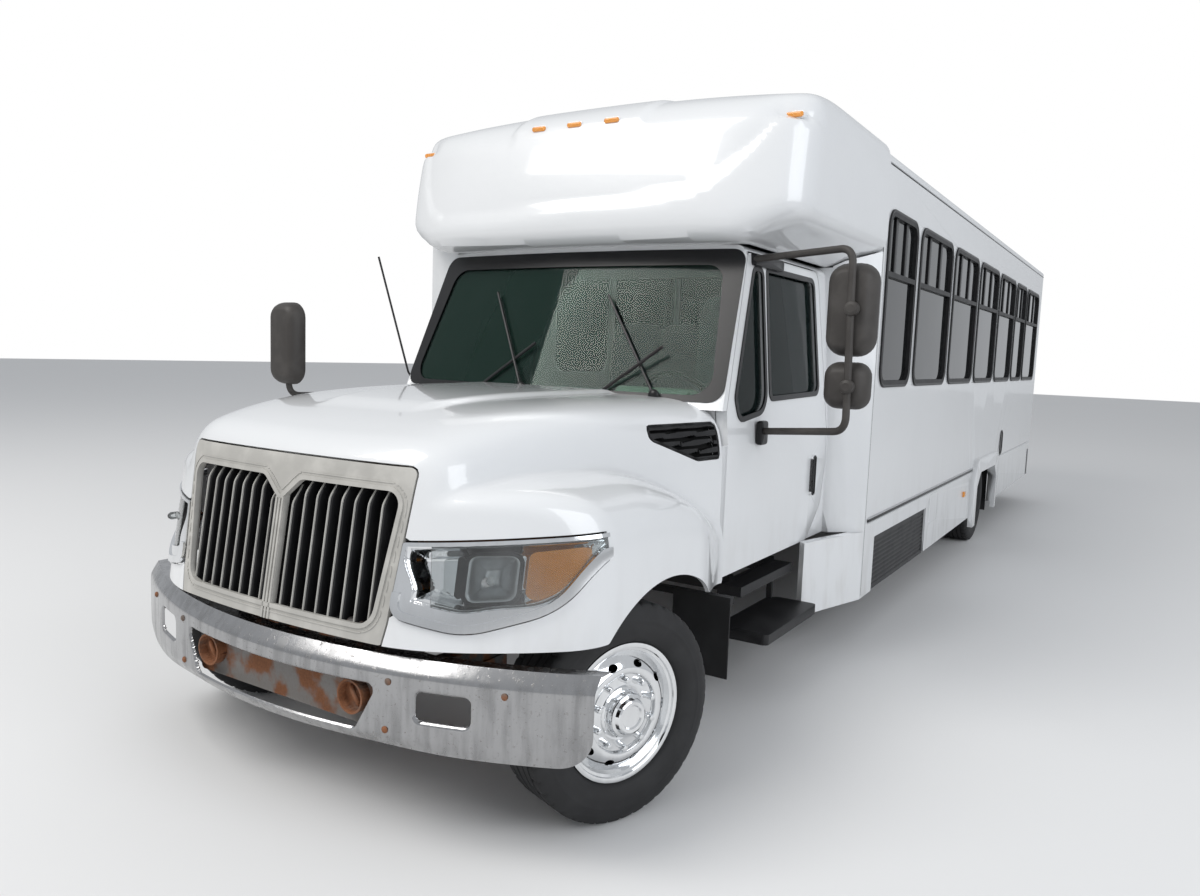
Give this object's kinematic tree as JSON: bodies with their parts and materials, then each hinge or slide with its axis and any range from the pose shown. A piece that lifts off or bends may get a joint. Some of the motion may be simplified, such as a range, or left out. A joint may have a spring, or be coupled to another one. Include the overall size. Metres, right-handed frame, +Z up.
{
  "type": "minibus",
  "caption": "White shuttle minibus: a passenger body with a glazed entry door on a conventional truck chassis with a long tilting hood and fenders.",
  "frame": {"origin": "on the ground below the middle of the bus", "axes": "+Z up, +Y towards the rear, +X towards the driver's side"},
  "size_m": [3.178, 11.2198, 3.0798],
  "materials": {
    "white_gelcoat": "gloss white paint and moulded shell",
    "chrome": "polished",
    "dull_chrome": "aged and streaked",
    "frame_black": "dull black chassis paint",
    "rusty_steel": "rusty",
    "grey_grille": "satin warm grey",
    "black_plastic": "matt black",
    "tyre": "worn rubber",
    "tinted_glass": "dark tint",
    "clear_glass": "green tint",
    "lamp_clear": "clear lens over a bright bowl",
    "lamp_amber": "coloured lens",
    "seat_fabric": "woven cloth",
    "dash_grey": "grained grey-green plastic",
    "floor_grey": "ribbed rubber",
    "aluminium": "brushed"
  },
  "bodies": {
    "root": {"antenna": "black_plastic", "cab_shell": "white_gelcoat", "cab_steps": "frame_black", "chassis_frame": "frame_black", "condenser_grille": "black_plastic", "dashboard": "dash_grey", "engine": "rusty_steel", "entry_steps": "floor_grey", "exhaust": "rusty_steel", "floor": "floor_grey", "front_axle": "frame_black", "front_bumper": "dull_chrome", "fuel_tank": "frame_black", "lamps": "lamp_amber", "leaf_springs": "frame_black", "left_wall": "white_gelcoat", "mud_flaps": "black_plastic", "radiator": "aluminium", "rear_axle": "frame_black", "rear_bumper": "frame_black", "rear_wall": "white_gelcoat", "right_mirror": "black_plastic", "right_wall": "white_gelcoat", "roof": "white_gelcoat", "roof_cap": "white_gelcoat", "seats": "seat_fabric", "tow_plate": "rusty_steel", "tow_sockets": "rusty_steel", "window_frames": "black_plastic", "window_glass": "tinted_glass", "windshield": "clear_glass", "wipers": "black_plastic"},
    "hood_body": {"hood": "white_gelcoat", "hood_louvres": "black_plastic", "headlamps": "lamp_clear", "grille_surround": "grey_grille", "grille_bars": "grey_grille"},
    "left_steer": {"left_knuckle": "rusty_steel"},
    "right_steer": {"right_knuckle": "rusty_steel"},
    "left_front": {"left_front_wheel": "chrome", "left_front_tyre": "tyre"},
    "right_front": {"right_front_wheel": "chrome", "right_front_tyre": "tyre"},
    "left_rear": {"left_rear_wheels": "chrome", "left_rear_tyres": "tyre"},
    "right_rear": {"right_rear_wheels": "chrome", "right_rear_tyres": "tyre"},
    "driver_door_body": {"driver_door": "white_gelcoat", "door_glass": "clear_glass", "left_mirror": "black_plastic"},
    "entry_front": {"entry_front_leaf": "aluminium", "entry_front_glass": "clear_glass"},
    "entry_rear": {"entry_rear_leaf": "aluminium", "entry_rear_glass": "clear_glass"},
    "rear_door_body": {"rear_door": "white_gelcoat", "rear_door_glass": "tinted_glass"},
    "steering": {"steering_wheel": "black_plastic"}
  },
  "joints": [
    {"name": "steer_left", "type": "hinge", "parent": "root", "child": "left_steer", "pos_m": [0.93, -4.79, 0.419], "axis": [0, 0, 1], "range_deg": [-17.5, 58.5]},
    {"name": "steer_right", "type": "hinge", "parent": "root", "child": "right_steer", "pos_m": [-0.93, -4.79, 0.419], "axis": [0, 0, 1], "range_deg": [-17.5, 58.5]},
    {"name": "spin_left_front", "type": "hinge", "parent": "left_steer", "child": "left_front", "pos_m": [1.0143, -4.82152, 0.419], "axis": [0.9367, -0.3502, 0], "continuous": true},
    {"name": "spin_right_front", "type": "hinge", "parent": "right_steer", "child": "right_front", "pos_m": [-1.0143, -4.75848, 0.419], "axis": [-0.9367, 0.3502, 0], "continuous": true},
    {"name": "spin_left_rear", "type": "hinge", "parent": "root", "child": "left_rear", "pos_m": [1.04, 1.98, 0.419], "axis": [1, 0, 0], "continuous": true},
    {"name": "spin_right_rear", "type": "hinge", "parent": "root", "child": "right_rear", "pos_m": [-1.04, 1.98, 0.419], "axis": [-1, 0, 0], "continuous": true},
    {"name": "hood_tilt", "type": "hinge", "parent": "root", "child": "hood_body", "pos_m": [0, -5.53, 0.79], "axis": [1, 0, 0], "range_deg": [0, 55]},
    {"name": "driver_door_hinge", "type": "hinge", "parent": "root", "child": "driver_door_body", "pos_m": [1.013, -3.828, 1.4], "axis": [0, 0, -1], "range_deg": [0, 65]},
    {"name": "entry_front_hinge", "type": "hinge", "parent": "root", "child": "entry_front", "pos_m": [-1.227, -3.313, 1.3], "axis": [0, 0, 1], "range_deg": [0, 90]},
    {"name": "entry_rear_hinge", "type": "hinge", "parent": "root", "child": "entry_rear", "pos_m": [-1.227, -2.347, 1.3], "axis": [0, 0, -1], "range_deg": [0, 90]},
    {"name": "rear_door_hinge", "type": "hinge", "parent": "root", "child": "rear_door_body", "pos_m": [-0.473, 5.418, 1.6], "axis": [0, 0, 1], "range_deg": [0, 90]},
    {"name": "steering_wheel_turn", "type": "hinge", "parent": "root", "child": "steering", "pos_m": [0.48, -3.3014, 1.4575], "axis": [0, 0.8821, 0.4711], "range_deg": [-262.5, 877.5]}
  ],
  "couplings": [
    {"joint": "steer_right", "follows": "steer_left", "ratio": 1},
    {"joint": "steering_wheel_turn", "follows": "steer_left", "ratio": 15}
  ]
}
